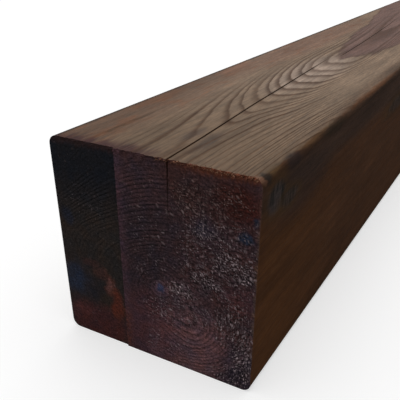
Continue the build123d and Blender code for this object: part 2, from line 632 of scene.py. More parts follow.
planedStains = [
    ((-60, 80, 145), (32, 190, 12), "#5E4336", 0.5),  # darker, warm left edge
    ((-62, 110, 145), (9, 45, 14), "#7A4A2A", 0.4),
    ((-62, 235, 145), (10, 40, 14), "#7E4C34", 0.35),
    ((-50, 420, 145), (24, 220, 14), "#7A5446", 0.45),
    ((-70.2, 700, 145), (6, 2200, 2.8), "#241A12", 0.9),  # painted shade: thin dark left arris
    ((-44, 26, 145), (2.4, 60, 8), "#42301F", 0.85),  # dark streak
    ((7, 262, 145), (25, 100, 10), "#AA978A", 0.55),  # painted sheen, pale around the arches
    ((3, 380, 145), (3, 50, 8), "#46322A", 0.7),  # dark tip of the heartwood
    ((20, 36, 145), (6, 26, 10), "#4E4038", 0.65),  # smudged first arch
    ((5, 46, 145), (5, 16, 10), "#544640", 0.5),
    ((68, 320, 145), (8, 250, 8), "#5C4636", 0.6),  # browner right border
    ((72, 330, 131), (14, 560, 15), "#4E3E36", 0.75),  # greyer band under the right arris
    ((72, 700, 141), (3, 2000, 4), "#33241A", 0.5),  # darker arris
    ((70.4, 17, 143.6), (2, 9, 3), "#70583A", 0.6),  # golden streaks on the arris: painted highlight on the rounding
    ((70.4, 84, 143.6), (1.6, 36, 3), "#6C5034", 0.45),
    ((70.2, 230, 143.8), (2, 100, 3), "#6C4428", 0.5),
    ((71, 8, 143), (4, 5, 5), "#2E2A26", 0.85),  # dark corner
    ((70, 1, 143.5), (5, 4, 4), "#8A6450", 0.7),  # torn, tan rim of the corner
    ((72, 62, 120), (14, 58, 20), "#4A3A34", 0.7),
    ((72, 44, 141), (5, 13, 6), "#382D2C", 0.75),
    ((72, 120, 140), (4, 26, 5), "#30291F", 0.6),
]
flankKnots = [
    {"middle": (72, 20, 127), "sizes": (16, 13, 10), "share": 0.9},
    {"middle": (72, 41, 120), "sizes": (14, 14, 6), "share": 0.6},
    {"middle": (72, 322, 112), "sizes": (14, 40, 7), "share": 0.6},
]
knotSet = {"core": "#222A2B", "streak": "#5F5452", "halo": "#62482B", "streakSize": (2.4, 16.0)}  # mm


def paintKnot(tree, point, colour, knot):
    away = addNode(tree, "VectorMath", {0: point, 1: knot["middle"]}, operation="SUBTRACT")
    away = addNode(tree, "VectorMath", {0: away, 1: knot["sizes"]}, operation="DIVIDE")
    away = addNode(tree, "VectorMath", {0: away}, operation="LENGTH")
    halo = addNode(tree, "MapRange", {
        "Value": away, "From Min": 1.8, "From Max": 1.05, "To Max": 0.4}, interpolation_type="SMOOTHSTEP")
    colour = addNode(tree, "Mix", {0: halo, 6: colour, 7: linear(knotSet["halo"])}, data_type="RGBA")
    across, along = knotSet["streakSize"]
    streak = addNode(tree, "Mapping", {
        "Vector": point, "Rotation": (0.25, 0, 0), "Scale": (1 / along, 1 / across, 1 / along)})
    streak = addNode(tree, "TexNoise", {"Vector": streak, "Scale": 1.0, "Detail": 2.0})
    streak = addNode(tree, "MapRange", {
        "Value": streak, "From Min": 0.38, "From Max": 0.64}, interpolation_type="SMOOTHSTEP")
    core = addNode(tree, "Mix", {
        0: streak, 6: linear(knotSet["core"]), 7: linear(knotSet["streak"])}, data_type="RGBA")
    inside = addNode(tree, "MapRange", {
        "Value": away, "From Min": 1.2, "From Max": 0.55, "To Max": knot["share"]}, interpolation_type="SMOOTHSTEP")
    return addNode(tree, "Mix", {0: inside, 6: colour, 7: core}, data_type="RGBA")


def checkLip(tree, x, y, check):
    # follows the line of a check from point to point
    line = check["line"]
    middle = addNode(tree, "Math", {0: x, 1: line[0][1]}, operation="SUBTRACT")
    half = planedSet["lipWidth"] + check["width"] * line[0][2] / 2
    for (start, fromX, fromShare), (end, toX, toShare) in zip(line, line[1:]):
        step = addNode(tree, "MapRange", {"Value": y, "From Min": start, "From Max": end, "To Max": fromX - toX})
        middle = addNode(tree, "Math", {0: middle, 1: step}, operation="ADD")
    off = addNode(tree, "Math", {0: middle}, operation="ABSOLUTE")
    side = addNode(tree, "MapRange", {
        "Value": off, "From Min": half, "From Max": half / 4, "To Max": 0.85}, interpolation_type="SMOOTHSTEP")
    first, last = line[0][0], line[-1][0]
    opens = addNode(tree, "MapRange", {"Value": y, "From Min": first, "From Max": first + 20})
    closes = addNode(tree, "MapRange", {"Value": y, "From Min": last + 10, "From Max": last - 60})
    if first < 0:
        opens = 1.0
    span = addNode(tree, "Math", {0: opens, 1: closes}, operation="MULTIPLY")
    return addNode(tree, "Math", {0: side, 1: span}, operation="MULTIPLY")


def planedSoftwood():
    material = bpy.data.materials.new("planedSoftwood")
    material.use_nodes = True
    tree = material.node_tree
    tree.nodes.clear()
    rings = growthRings(tree)
    point = rings["point"]
    x = addNode(tree, "SeparateXYZ", {0: point}, take="X")
    y = addNode(tree, "SeparateXYZ", {0: point}, take="Y")
    z = addNode(tree, "SeparateXYZ", {0: point}, take="Z")

    # the top is painted paler and greyer than the flanks as sheen; the flanks reach up round the arrises
    border = addNode(tree, "Mapping", {"Vector": point, "Scale": (1 / 8, 1 / 18, 1 / 8)})
    border = addNode(tree, "TexNoise", {"Vector": border, "Scale": 1.0, "Detail": 4.0})
    border = addNode(tree, "Math", {0: border, 1: planedSet["border"]}, operation="MULTIPLY")
    height = addNode(tree, "Math", {0: z, 1: border}, operation="ADD")
    upper = addNode(tree, "MapRange", {
        "Value": height, "From Min": 144.2, "From Max": 145.4}, interpolation_type="SMOOTHSTEP")
    width = addNode(tree, "Math", {0: x}, operation="ABSOLUTE")
    width = addNode(tree, "Math", {0: width, 1: border}, operation="SUBTRACT")
    inner = addNode(tree, "MapRange", {
        "Value": width, "From Min": 68.4, "From Max": 67.2}, interpolation_type="SMOOTHSTEP")
    onTop = addNode(tree, "Math", {0: upper, 1: inner}, operation="MULTIPLY")
    # painted sheen: the top pales from the sawn end to 700 mm on
    near = addNode(tree, "MapRange", {
        "Value": y, "From Min": 20.0, "From Max": 200.0}, interpolation_type="SMOOTHSTEP")
    top = addNode(tree, "Mix", {
        0: near, 6: linear(planedSet["front"]), 7: linear(planedSet["top"])}, data_type="RGBA")
    away = addNode(tree, "MapRange", {"Value": y, "From Min": 200.0, "From Max": 700.0})
    top = addNode(tree, "Mix", {0: away, 6: top, 7: linear(planedSet["topSheenFar"])}, data_type="RGBA")
    flank = addNode(tree, "Mix", {
        0: near, 6: linear(planedSet["flank"]), 7: linear(planedSet["flankFar"])}, data_type="RGBA")
    colour = addNode(tree, "Mix", {0: onTop, 6: flank, 7: top}, data_type="RGBA")

    # stains with wandering outlines
    loose = addNode(tree, "Mapping", {"Vector": point, "Scale": (1 / 9, 1 / 30, 1 / 9)})
    loose = addNode(tree, "TexNoise", {
        "Vector": loose, "Scale": 1.0, "Detail": 6.0, "Roughness": 0.7}, take="Color")
    loose = addNode(tree, "VectorMath", {0: loose, 1: (7, 24, 7), 2: (-3.5, -12, -3.5)}, operation="MULTIPLY_ADD")
    spot = addNode(tree, "VectorMath", {0: point, 1: loose}, operation="ADD")
    colour = paintStains(tree, spot, colour, planedStains)
    loose = addNode(tree, "VectorMath", {0: loose, 1: (0.6, 0.25, 0.6)}, operation="MULTIPLY")
    spot = addNode(tree, "VectorMath", {0: point, 1: loose}, operation="ADD")
    for knot in flankKnots:
        colour = paintKnot(tree, spot, colour, knot)

    # reddish blotches towards the left edge
    blotch = addNode(tree, "Mapping", {"Vector": point, "Scale": (1 / 7, 1 / 28, 1 / 7)})
    blotch = addNode(tree, "TexNoise", {"Vector": blotch, "Scale": 1.0, "Detail": 4.0})
    blotch = addNode(tree, "MapRange", {
        "Value": blotch, "From Min": 0.5, "From Max": 0.68, "To Max": 0.42}, interpolation_type="SMOOTHSTEP")
    left = addNode(tree, "MapRange", {
        "Value": x, "From Min": -14.0, "From Max": -50.0}, interpolation_type="SMOOTHSTEP")
    blotch = addNode(tree, "Math", {0: blotch, 1: left}, operation="MULTIPLY")
    blotch = addNode(tree, "Math", {0: blotch, 1: onTop}, operation="MULTIPLY")
    colour = addNode(tree, "Mix", {0: blotch, 6: colour, 7: linear(planedSet["blotch"])}, data_type="RGBA")

    # heartwood between the far arches: a long rounded tongue with a dark outline
    tongue = addNode(tree, "Math", {0: y, 1: 0.03, 2: x}, operation="MULTIPLY_ADD")
    leftward = addNode(tree, "MapRange", {"Value": y, "From Min": 600.0, "From Max": 850.0, "To Max": 25.0})
    tongue = addNode(tree, "Math", {0: tongue, 1: leftward}, operation="ADD")
    nearer = addNode(tree, "Math", {0: y, 1: 800.0}, operation="MINIMUM")
    tongue = addNode(tree, "CombineXYZ", {"X": tongue, "Y": nearer})
    tongue = addNode(tree, "VectorMath", {0: tongue, 1: (24.0, 800, 0)}, operation="SUBTRACT")
    tongue = addNode(tree, "VectorMath", {0: tongue, 1: (1 / 45, 1 / 466, 0)}, operation="MULTIPLY")
    tongue = addNode(tree, "VectorMath", {0: tongue}, operation="LENGTH")
    ragged = addNode(tree, "Mapping", {"Vector": point, "Scale": (1 / 7, 1 / 60, 1 / 7)})
    ragged = addNode(tree, "TexNoise", {"Vector": ragged, "Scale": 1.0, "Detail": 3.0})
    tongue = addNode(tree, "Math", {0: ragged, 1: 0.22, 2: tongue}, operation="MULTIPLY_ADD")
    heart = addNode(tree, "MapRange", {
        "Value": tongue, "From Min": 1.13, "From Max": 1.08}, interpolation_type="SMOOTHSTEP")
    fades = addNode(tree, "MapRange", {
        "Value": y, "From Min": 1750.0, "From Max": 700.0}, interpolation_type="SMOOTHSTEP")
    heart = addNode(tree, "Math", {0: heart, 1: fades}, operation="MULTIPLY")
    heart = addNode(tree, "Math", {0: heart, 1: onTop}, operation="MULTIPLY")
    core = addNode(tree, "MapRange", {
        "Value": tongue, "From Min": 1.1, "From Max": 1.03, "To Min": 0.6, "To Max": 0.0},
        interpolation_type="SMOOTHSTEP")
    tint = addNode(tree, "Mix", {
        0: core, 6: linear(planedSet["heart"]), 7: linear(planedSet["heartLine"])}, data_type="RGBA")
    cover = addNode(tree, "Math", {0: heart, 1: 0.78}, operation="MULTIPLY")
    colour = addNode(tree, "Mix", {0: cover, 6: colour, 7: tint}, data_type="RGBA")

    # treatment drawn in at the sawn edge of the top, left of the check
    drawn = addNode(tree, "Mapping", {"Vector": point, "Scale": (1 / 3, 1 / 14, 1 / 3)})
    drawn = addNode(tree, "TexNoise", {"Vector": drawn, "Scale": 1.0, "Detail": 4.0})
    drawn = addNode(tree, "Math", {0: drawn, 1: 26.0, 2: y}, operation="MULTIPLY_ADD")
    drawn = addNode(tree, "MapRange", {
        "Value": drawn, "From Min": 30.0, "From Max": 12.0, "To Max": 0.9}, interpolation_type="SMOOTHSTEP")
    ends = addNode(tree, "MapRange", {
        "Value": x, "From Min": 16.0, "From Max": -8.0, "To Min": 0.12}, interpolation_type="SMOOTHSTEP")
    drawn = addNode(tree, "Math", {0: drawn, 1: ends}, operation="MULTIPLY")
    colour = addNode(tree, "Mix", {0: drawn, 6: colour, 7: linear(planedSet["endStain"])}, data_type="RGBA")
    patch = addNode(tree, "Mapping", {"Vector": point, "Scale": (1 / 16, 1 / 110, 1 / 16)})
    patch = addNode(tree, "TexNoise", {"Vector": patch, "Scale": 1.0, "Detail": 3.0})
    patch = addNode(tree, "MapRange", {
        "Value": patch, "From Min": 0.3, "From Max": 0.7, "To Min": 0.83, "To Max": 1.17})
    colour = addNode(tree, "VectorMath", {0: colour, "Scale": patch}, operation="SCALE")

    # the arches show in the middle of the top; left, far right, heartwood and flanks are plain
    share = addNode(tree, "MapRange", {
        "Value": onTop, "To Min": planedSet["flankShare"], "To Max": planedSet["lateShare"]})
    inside = addNode(tree, "MapRange", {
        "Value": x, "From Min": -34.0, "From Max": -14.0, "To Min": 0.2}, interpolation_type="SMOOTHSTEP")
    share = addNode(tree, "Math", {0: share, 1: inside}, operation="MULTIPLY")
    begins = addNode(tree, "MapRange", {
        "Value": y, "From Max": 90.0, "To Min": 0.72}, interpolation_type="SMOOTHSTEP")
    share = addNode(tree, "Math", {0: share, 1: begins}, operation="MULTIPLY")
    right = addNode(tree, "MapRange", {
        "Value": x, "From Min": 26.0, "From Max": 46.0}, interpolation_type="SMOOTHSTEP")
    further = addNode(tree, "MapRange", {
        "Value": y, "From Min": 90.0, "From Max": 230.0, "To Max": 0.85}, interpolation_type="SMOOTHSTEP")
    plain = addNode(tree, "Math", {0: right, 1: further}, operation="MULTIPLY")
    plain = addNode(tree, "Math", {0: heart, 1: 0.05, 2: plain}, operation="MULTIPLY_ADD")
    plain = addNode(tree, "Math", {0: 1.0, 1: plain}, operation="SUBTRACT", use_clamp=True)
    share = addNode(tree, "Math", {0: share, 1: plain}, operation="MULTIPLY")
    share = addNode(tree, "Math", {0: share, 1: rings["late"]}, operation="MULTIPLY")
    colour = addNode(tree, "Mix", {0: share, 6: colour, 7: linear(planedSet["late"])}, data_type="RGBA")
    # dark lips of the checks: treatment stain with painted shade of the open gap
    for check in checkShape["checks"]:
        lipStainAndShade = checkLip(tree, x, y, check)
        lipStainAndShade = addNode(tree, "Math", {0: lipStainAndShade, 1: onTop}, operation="MULTIPLY")
        colour = addNode(tree, "Mix", {0: lipStainAndShade, 6: colour, 7: linear(planedSet["lipStainAndShade"])}, data_type="RGBA")
    across, along = planedSet["fibre"]
    streak = addNode(tree, "Mapping", {"Vector": point, "Scale": (1 / across, 1 / along, 1 / across)})
    fibre = addNode(tree, "TexNoise", {"Vector": streak, "Scale": 1.0, "Detail": 3.0})
    deep = addNode(tree, "MapRange", {"Value": onTop, "To Min": 0.84, "To Max": 0.76})
    high = addNode(tree, "MapRange", {"Value": onTop, "To Min": 1.16, "To Max": 1.24})
    shade = addNode(tree, "MapRange", {
        "Value": fibre, "From Min": 0.3, "From Max": 0.7, "To Min": deep, "To Max": high})
    colour = addNode(tree, "VectorMath", {0: colour, "Scale": shade}, operation="SCALE")
    fleck = addNode(tree, "Mapping", {"Vector": point, "Scale": (1 / 1.2, 1 / 7, 1 / 1.2)})
    fleck = addNode(tree, "TexNoise", {"Vector": fleck, "Scale": 1.0, "Detail": 2.0})
    shade = addNode(tree, "MapRange", {
        "Value": fleck, "From Min": 0.3, "From Max": 0.7, "To Min": 0.86, "To Max": 1.14})
    colour = addNode(tree, "VectorMath", {0: colour, "Scale": shade}, operation="SCALE")
    band = addNode(tree, "Mapping", {"Vector": point, "Scale": (1 / 4, 1 / 90, 1 / 4)})
    band = addNode(tree, "TexNoise", {"Vector": band, "Scale": 1.0, "Detail": 2.0})
    shade = addNode(tree, "MapRange", {
        "Value": band, "From Min": 0.3, "From Max": 0.7, "To Min": 0.86, "To Max": 1.14})
    colour = addNode(tree, "VectorMath", {0: colour, "Scale": shade}, operation="SCALE")
    relief = addNode(tree, "Math", {0: fibre, 1: 0.5, 2: share}, operation="MULTIPLY_ADD")
    bump = addNode(tree, "Bump", {"Height": relief, "Distance": planedSet["relief"], "Strength": 1.0})
    low, high = planedSet["roughness"]
    rough = addNode(tree, "MapRange", {
        "Value": fibre, "From Min": 0.3, "From Max": 0.7, "To Min": low, "To Max": high})
    wood = addNode(tree, "BsdfPrincipled", {
        "Base Color": colour, "Roughness": rough, "Specular IOR Level": planedSet["gloss"], "Normal": bump})
    addNode(tree, "OutputMaterial", {"Surface": wood})
    return material


# Sawn end grain: soaks up the treatment, so it is darker and plum-tinted, with pale tufts of torn fibre that carry
# painted glints
endSet = {
    "strip": "#403733",
    "stripTop": "#25262D",
    "middle": "#4C3A40",
    "right": "#624649",
    "stepEdge": "#825C6A",  # rubbed edge of the first saw pass
    "stepFoot": "#96523E",
    "arc": "#A27C80",  # paler growth around the lower right
    "back": "#5E4A48",
    "rim": "#945238",  # frayed top edge
    "cold": (0.84, 0.95, 1.08, 1.0),  # shares of red, green and blue
    "warm": (1.16, 1.03, 0.94, 1.0),
    "ringLight": 0.5,  # how far rings lighten and darken the wood
    "ringDark": 1.15,
    # colours of the torn tufts, painted bright as glints; tan near the top edge
    "tuftGlint": "#F4DADF",
    "tuftTan": "#B48C7C",
    "tuftCells": [(1.4, 1.0), (2.2, 1.0), (3.4, 0.6)],  # mm and share, drawn coarser than real fibre ends
    "streak": (1.1, 3.0),  # mm, torn furrows
    "tuftLean": (0.6, 1.9),  # radians, mean and spread
    "arcMiddle": (26.0, 40.0),  # mm, what the lower arcs go round
    "crack": "#1C1214",
    "gloss": 0.3,
}
endStains = [  # middle, half sizes in mm, colour, strength
    ((40, 0, 130), (40, 60, 18), "#5C3C38", 0.6),  # reddish upper right
    ((60, 0, 127), (17, 60, 15), "#5C281E", 0.75),
    ((29, 0, 25), (32, 60, 30), "#90696E", 0.8),  # pink lower middle
    ((-2, 0, 22), (22, 60, 36), "#7E4E54", 0.52),
    ((2, 0, 7), (9, 60, 10), "#94707A", 0.3),
    ((62, 0, 66), (14, 60, 11), "#6E464A", 0.7),  # smooth reddish patch by the right edge
    ((64, 0, 10), (15, 60, 24), "#463E4E", 0.6),  # bluish lower right corner
    ((39, 0, 107), (10, 60, 9), "#504E62", 0.5),
    ((64.4, 0, 108.7), (5, 60, 4.6), "#2E425C", 0.85),  # small blue knots
    ((70, 0, 119.4), (3, 60, 3.5), "#2E3E56", 0.8),
    ((-6, 0, 130), (20, 60, 20), "#66484E", 0.4),  # warmer middle under the top edge
    ((21, 0, 61), (14, 60, 9), "#7E6068", 0.6),  # paler torn wood beside the pith
    ((7, 0, 57.5), (8, 60, 6), "#8E6C7A", 0.6),  # pith
    ((6.9, 0, 57.5), (3.4, 60, 3.4), "#46567C", 0.8),
    ((75, 0, 80), (4.5, 60, 75), "#8E6E5A", 0.6),  # paler right edge
]
stripStains = [
    ((-48, 0, 10), (34, 60, 19), "#643636", 0.85),
    ((-60, 0, 17), (12, 60, 5), "#744648", 0.5),
    ((-50, 0, 60), (9, 60, 4), "#5E3A34", 0.6),
    ((-41, 0, 54), (7, 60, 5), "#6C4238", 0.6),
    ((-34, 0, 45), (5, 60, 9), "#7A483C", 0.65),
    ((-29, 0, 31), (6, 60, 14), "#84402E", 0.8),
    ((-35, 0, 47), (2.5, 60, 5.5), "#A06C64", 0.6),
    ((-47, 0, 42), (9, 60, 11), "#362E2E", 0.6),
    ((-62, 0, 42), (20, 60, 20), "#3A3640", 0.6),  # big knot, blue in its middle
    ((-65, 0, 43), (11, 60, 13), "#384864", 0.55),
    ((-65, 0, 91), (6, 60, 7), "#2C3448", 0.6),
]
endRings = [  # x, z, half sizes in mm, how clear the rings are
    (36, 26, 36, 32, 0.95),
    (-2, 112, 26, 38, 1.2),
    (2, 74, 26, 32, 0.75),
    (-44, 104, 28, 26, 1.3),
    (-44, 78, 26, 16, 0.7),
]
wholeRings = [(-46, 100, 32, 34, 0.5), (-2, 112, 26, 40, 0.58)]  # where they run unbroken
endArcs = [(56, 36, 24, 42, 1.0), (34, 12, 34, 16, 1.0)]  # where torn fibre follows the rings
tuftPlaces = [  # x, z, half sizes in mm, share of cells with a tuft
    (46, 96, 34, 44, 0.44),
    (54, 88, 13, 11, 0.85),
    (65, 86, 8, 9, 1.0),
    (22, 61, 12, 8, 0.9),
    (40, 74, 14, 8, 0.85),
    (38, 105, 12, 9, 0.65),
    (30, 124, 16, 14, 0.52),
    (52, 128, 18, 11, 0.45),
    (58, 48, 15, 22, 0.6),
    (30, 46, 24, 14, 0.4),
    (66, 25, 9, 30, 0.8),
    (58, 8, 16, 10, 0.55),
    (14, 42, 24, 16, 0.36),
    (12, 14, 24, 14, 0.26),
    (0, 96, 22, 50, 0.18),
    (-50, 104, 18, 14, 0.13),
]


def paintShares(tree, point, places, least):
    total = least
    for placeX, placeZ, sizeX, sizeZ, share in places:
        away = addNode(tree, "VectorMath", {0: point, 1: (placeX, 0, placeZ)}, operation="SUBTRACT")
        away = addNode(tree, "VectorMath", {0: away, 1: (1 / sizeX, 0, 1 / sizeZ)}, operation="MULTIPLY")
        away = addNode(tree, "VectorMath", {0: away}, operation="LENGTH")
        here = addNode(tree, "MapRange", {
            "Value": away, "From Min": 1.3, "From Max": 0.4, "To Max": share}, interpolation_type="SMOOTHSTEP")
        total = addNode(tree, "Math", {0: here, 1: total}, operation="MAXIMUM")
    return total


def sawnEndGrain():
    material = bpy.data.materials.new("sawnEndGrain")
    material.use_nodes = True
    tree = material.node_tree
    tree.nodes.clear()
    rings = growthRings(tree)
    point = rings["point"]
    x = addNode(tree, "SeparateXYZ", {0: point}, take="X")
    y = addNode(tree, "SeparateXYZ", {0: point}, take="Y")
    z = addNode(tree, "SeparateXYZ", {0: point}, take="Z")
    wander = addNode(tree, "TexNoise", {"Vector": point, "Scale": 1 / 9, "Detail": 4.0}, take="Color")
    wander = addNode(tree, "VectorMath", {0: wander, 1: (11, 0, 11), 2: (-5.5, 0, -5.5)}, operation="MULTIPLY_ADD")
    spot = addNode(tree, "VectorMath", {0: point, 1: wander}, operation="ADD")
    grit = addNode(tree, "TexNoise", {"Vector": point, "Scale": 0.8, "Detail": 3.0})

    # first saw pass: plum in the middle, warmer to the right
    toRight = addNode(tree, "MapRange", {
        "Value": x, "From Min": 0.0, "From Max": 40.0}, interpolation_type="SMOOTHSTEP")
    main = addNode(tree, "Mix", {
        0: toRight, 6: linear(endSet["middle"]), 7: linear(endSet["right"])}, data_type="RGBA")
    main = paintStains(tree, spot, main, endStains)
    arc = addNode(tree, "MapRange", {
        "Value": rings["radius"], "From Min": 42.0, "From Max": 46.0}, interpolation_type="SMOOTHSTEP")
    arcEnd = addNode(tree, "MapRange", {
        "Value": rings["radius"], "From Min": 50.0, "From Max": 46.5}, interpolation_type="SMOOTHSTEP")
    arc = addNode(tree, "Math", {0: arc, 1: arcEnd}, operation="MULTIPLY")
    lower = addNode(tree, "MapRange", {
        "Value": z, "From Min": 50.0, "From Max": 34.0, "To Max": 0.5}, interpolation_type="SMOOTHSTEP")
    arc = addNode(tree, "Math", {0: arc, 1: lower}, operation="MULTIPLY")
    toRight = addNode(tree, "MapRange", {
        "Value": x, "From Min": 4.0, "From Max": 30.0}, interpolation_type="SMOOTHSTEP")
    arc = addNode(tree, "Math", {0: arc, 1: toRight}, operation="MULTIPLY")
    arc = addNode(tree, "Math", {0: arc, 1: grit}, operation="MULTIPLY")
    main = addNode(tree, "Mix", {0: arc, 6: main, 7: linear(endSet["arc"])}, data_type="RGBA")
    edge = addNode(tree, "Math", {0: grit, 1: 8.0, 2: x}, operation="MULTIPLY_ADD")
    edge = addNode(tree, "MapRange", {
        "Value": edge, "From Min": -10.0, "From Max": -18.0, "To Max": 0.55}, interpolation_type="SMOOTHSTEP")
    rubbed = addNode(tree, "TexNoise", {"Vector": point, "Scale": 1 / 2.4, "Detail": 3.0})
    rubbed = addNode(tree, "MapRange", {"Value": rubbed, "From Min": 0.36, "From Max": 0.62, "To Min": 0.25})
    edge = addNode(tree, "Math", {0: edge, 1: rubbed}, operation="MULTIPLY")
    low = addNode(tree, "MapRange", {
        "Value": z, "From Min": 40.0, "From Max": 22.0}, interpolation_type="SMOOTHSTEP")
    edgeColour = addNode(tree, "Mix", {
        0: low, 6: linear(endSet["stepEdge"]), 7: linear(endSet["stepFoot"])}, data_type="RGBA")
    main = addNode(tree, "Mix", {0: edge, 6: main, 7: edgeColour}, data_type="RGBA")

    # second pass: a darker strip
    toTop = addNode(tree, "MapRange", {
        "Value": z, "From Min": 85.0, "From Max": 128.0}, interpolation_type="SMOOTHSTEP")
    strip = addNode(tree, "Mix", {
        0: toTop, 6: linear(endSet["strip"]), 7: linear(endSet["stripTop"])}, data_type="RGBA")
    strip = paintStains(tree, spot, strip, stripStains)
    inStrip = addNode(tree, "Math", {0: x, 1: postShape["sawLine"]}, operation="LESS_THAN")
    front = addNode(tree, "Mix", {0: inStrip, 6: main, 7: strip}, data_type="RGBA")
    isBack = addNode(tree, "Math", {0: y, 1: 900.0}, operation="GREATER_THAN")
    colour = addNode(tree, "Mix", {0: isBack, 6: front, 7: linear(endSet["back"])}, data_type="RGBA")

    # the treatment took unevenly: bluish and reddish by turns
    uneven = addNode(tree, "TexNoise", {"Vector": point, "Scale": 1 / 11, "Detail": 4.0})
    uneven = addNode(tree, "MapRange", {"Value": uneven, "From Min": 0.36, "From Max": 0.64})
    uneven = addNode(tree, "Mix", {0: uneven, 6: endSet["cold"], 7: endSet["warm"]}, data_type="RGBA")
    colour = addNode(tree, "VectorMath", {0: colour, 1: uneven}, operation="MULTIPLY")

    # rings come and go where the saw smeared them
    broken = addNode(tree, "TexNoise", {"Vector": point, "Scale": 1 / 2.4, "Detail": 3.0})
    broken = addNode(tree, "MapRange", {"Value": broken, "From Min": 0.38, "From Max": 0.6, "To Min": 0.2})
    whole = paintShares(tree, spot, wholeRings, 0.0)
    broken = addNode(tree, "Math", {0: broken, 1: whole}, operation="MAXIMUM")
    clear = paintShares(tree, spot, endRings, 0.3)
    clear = addNode(tree, "Math", {0: clear, 1: broken}, operation="MULTIPLY")
    years = addNode(tree, "MapRange", {"Value": rings["odds"], "To Min": 0.3, "To Max": 1.25})
    clear = addNode(tree, "Math", {0: clear, 1: years}, operation="MULTIPLY")
    late = addNode(tree, "MapRange", {
        "Value": rings["phase"], "From Min": 0.8, "From Max": 0.15}, interpolation_type="SMOOTHSTEP")
    start = addNode(tree, "MapRange", {"Value": rings["phase"], "From Max": 0.12})
    late = addNode(tree, "Math", {0: late, 1: start}, operation="MULTIPLY")
    lines = addNode(tree, "Math", {
        0: late, 1: -endSet["ringDark"], 2: endSet["ringLight"]}, operation="MULTIPLY_ADD")
    lines = addNode(tree, "Math", {0: lines, 1: clear, 2: 1.0}, operation="MULTIPLY_ADD")
    colour = addNode(tree, "VectorMath", {0: colour, "Scale": lines}, operation="SCALE")

    # pale torn tufts, painted near-white as glints where they catch the light; they crowd where the saw pulled the
    # fibres out
    crowd = paintShares(tree, spot, tuftPlaces, 0.02)
    flat = addNode(tree, "CombineXYZ", {"X": x, "Y": z})
    followed = paintShares(tree, point, endArcs, 0.0)
    tufts = None
    for size, shareThere in endSet["tuftCells"]:
        cells = {"Vector": flat, "Scale": 1 / size}
        middle = addNode(tree, "TexVoronoi", cells, take="Position", voronoi_dimensions="2D")
        chance = addNode(tree, "TexVoronoi", cells, take="Color", voronoi_dimensions="2D")
        odds = addNode(tree, "SeparateColor", {0: chance}, take="Red")
        bright = addNode(tree, "SeparateColor", {0: chance}, take="Green")
        lean = addNode(tree, "SeparateColor", {0: chance}, take="Blue")
        mean, spreadLean = endSet["tuftLean"]
        lean = addNode(tree, "Math", {0: lean, 1: spreadLean, 2: mean - spreadLean / 2}, operation="MULTIPLY_ADD")
        spoke = addNode(tree, "VectorMath", {0: middle, 1: (*endSet["arcMiddle"], 0)}, operation="SUBTRACT")
        spokeX = addNode(tree, "SeparateXYZ", {0: spoke}, take="X")
        spokeZ = addNode(tree, "SeparateXYZ", {0: spoke}, take="Y")
        tangent = addNode(tree, "Math", {0: spokeX, 1: spokeZ}, operation="ARCTAN2")
        tangent = addNode(tree, "Math", {0: lean, 1: 0.3, 2: tangent}, operation="MULTIPLY_ADD")
        lean = addNode(tree, "Mix", {0: followed, 2: lean, 3: tangent}, data_type="FLOAT")
        dash = addNode(tree, "VectorMath", {0: flat, 1: middle}, operation="SUBTRACT")
        dash = addNode(tree, "VectorRotate", {"Vector": dash, "Angle": lean}, rotation_type="Z_AXIS")
        dash = addNode(tree, "VectorMath", {0: dash, 1: (1.8 / size, 4.4 / size, 0)}, operation="MULTIPLY")
        dash = addNode(tree, "VectorMath", {0: dash}, operation="LENGTH")
        dash = addNode(tree, "MapRange", {
            "Value": dash, "From Min": 1.2, "From Max": 0.3}, interpolation_type="SMOOTHSTEP")
        there = addNode(tree, "Math", {0: crowd, 1: shareThere}, operation="MULTIPLY")
        there = addNode(tree, "Math", {0: odds, 1: there}, operation="LESS_THAN")
        bright = addNode(tree, "Math", {0: bright, 1: 2.8}, operation="POWER")
        bright = addNode(tree, "MapRange", {"Value": bright, "To Min": 0.12, "To Max": 1.0})
        dash = addNode(tree, "Math", {0: dash, 1: there}, operation="MULTIPLY")
        dash = addNode(tree, "Math", {0: dash, 1: bright}, operation="MULTIPLY")
        tufts = addNode(tree, "Math", {0: dash, 1: tufts}, operation="MAXIMUM") if tufts else dash
    force = addNode(tree, "MapRange", {"Value": crowd, "From Max": 0.8, "To Min": 0.1})
    tufts = addNode(tree, "Math", {0: tufts, 1: force}, operation="MULTIPLY")
    upper = addNode(tree, "MapRange", {
        "Value": z, "From Min": 104.0, "From Max": 125.0, "To Max": 0.7}, interpolation_type="SMOOTHSTEP")
    tuftGlintColour = addNode(tree, "Mix", {
        0: upper, 6: linear(endSet["tuftGlint"]), 7: linear(endSet["tuftTan"])}, data_type="RGBA")
    rough = addNode(tree, "MapRange", {"Value": crowd, "From Max": 0.6, "To Min": 2.1, "To Max": 3.4})
    dark = addNode(tree, "Math", {0: grit, 1: 0.5}, operation="SUBTRACT")
    dark = addNode(tree, "Math", {0: dark, 1: rough, 2: 0.96}, operation="MULTIPLY_ADD")
    gaps = addNode(tree, "MapRange", {"Value": crowd, "From Max": 0.9, "To Min": 1.0, "To Max": 0.52})
    dark = addNode(tree, "Math", {0: dark, 1: gaps}, operation="MULTIPLY")
    dark = addNode(tree, "Math", {0: dark, 1: 0.15}, operation="MAXIMUM")
    colour = addNode(tree, "VectorMath", {0: colour, "Scale": dark}, operation="SCALE")
    wide, long = endSet["streak"]
    streak = addNode(tree, "Mapping", {
        "Vector": flat, "Rotation": (0, 0, -endSet["tuftLean"][0]), "Scale": (1 / long, 1 / wide, 1)})
    streak = addNode(tree, "TexNoise", {"Vector": streak, "Scale": 1.0, "Detail": 2.0, "Distortion": 0.6})
    deep = addNode(tree, "MapRange", {"Value": crowd, "From Max": 0.6, "To Min": 0.85, "To Max": 0.3})
